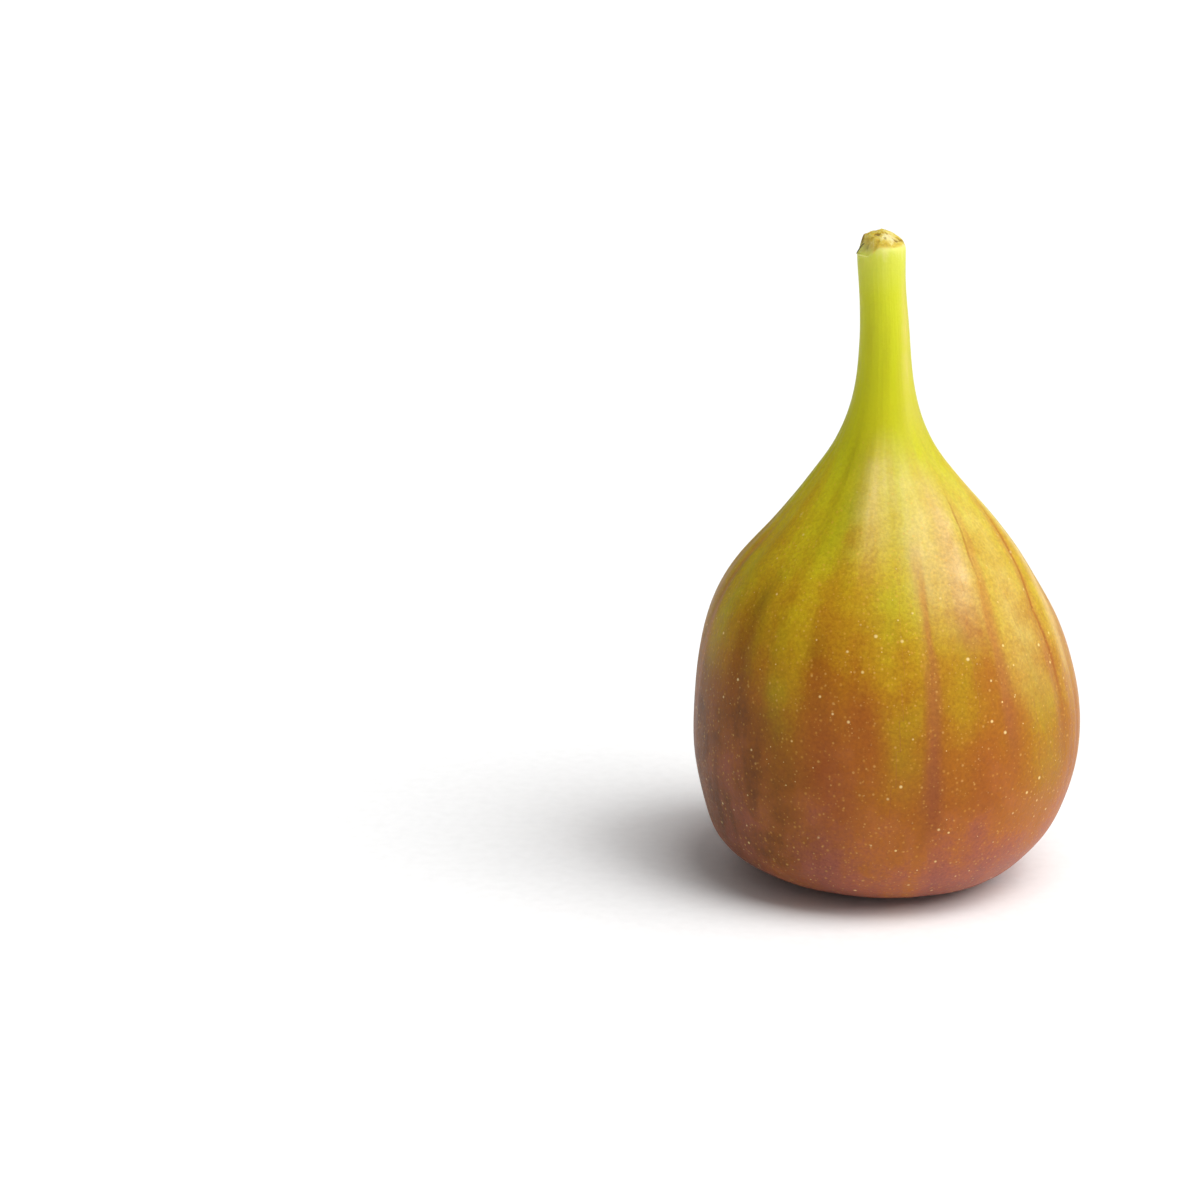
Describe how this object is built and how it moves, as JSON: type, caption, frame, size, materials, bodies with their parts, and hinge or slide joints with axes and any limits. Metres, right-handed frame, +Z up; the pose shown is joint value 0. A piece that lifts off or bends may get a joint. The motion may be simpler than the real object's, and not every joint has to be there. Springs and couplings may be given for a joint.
{
  "type": "fresh fig",
  "caption": "Whole fresh fig: a full round belly tapering through a slim neck to a short cut stem, standing upright on its broad base.",
  "frame": {"origin": "on the resting plane, in the middle of the fruit's bounding box in plan", "axes": "+Z up from the eye to the cut stem, +X to the right as seen from the front, +Y towards the back"},
  "size_m": [0.0476, 0.0452, 0.0805],
  "materials": {
    "fig_skin": "satin",
    "cut_stem": "matte",
    "eye_scales": "satin"
  },
  "bodies": {
    "root": {"fig": "fig_skin"}
  },
  "joints": []
}
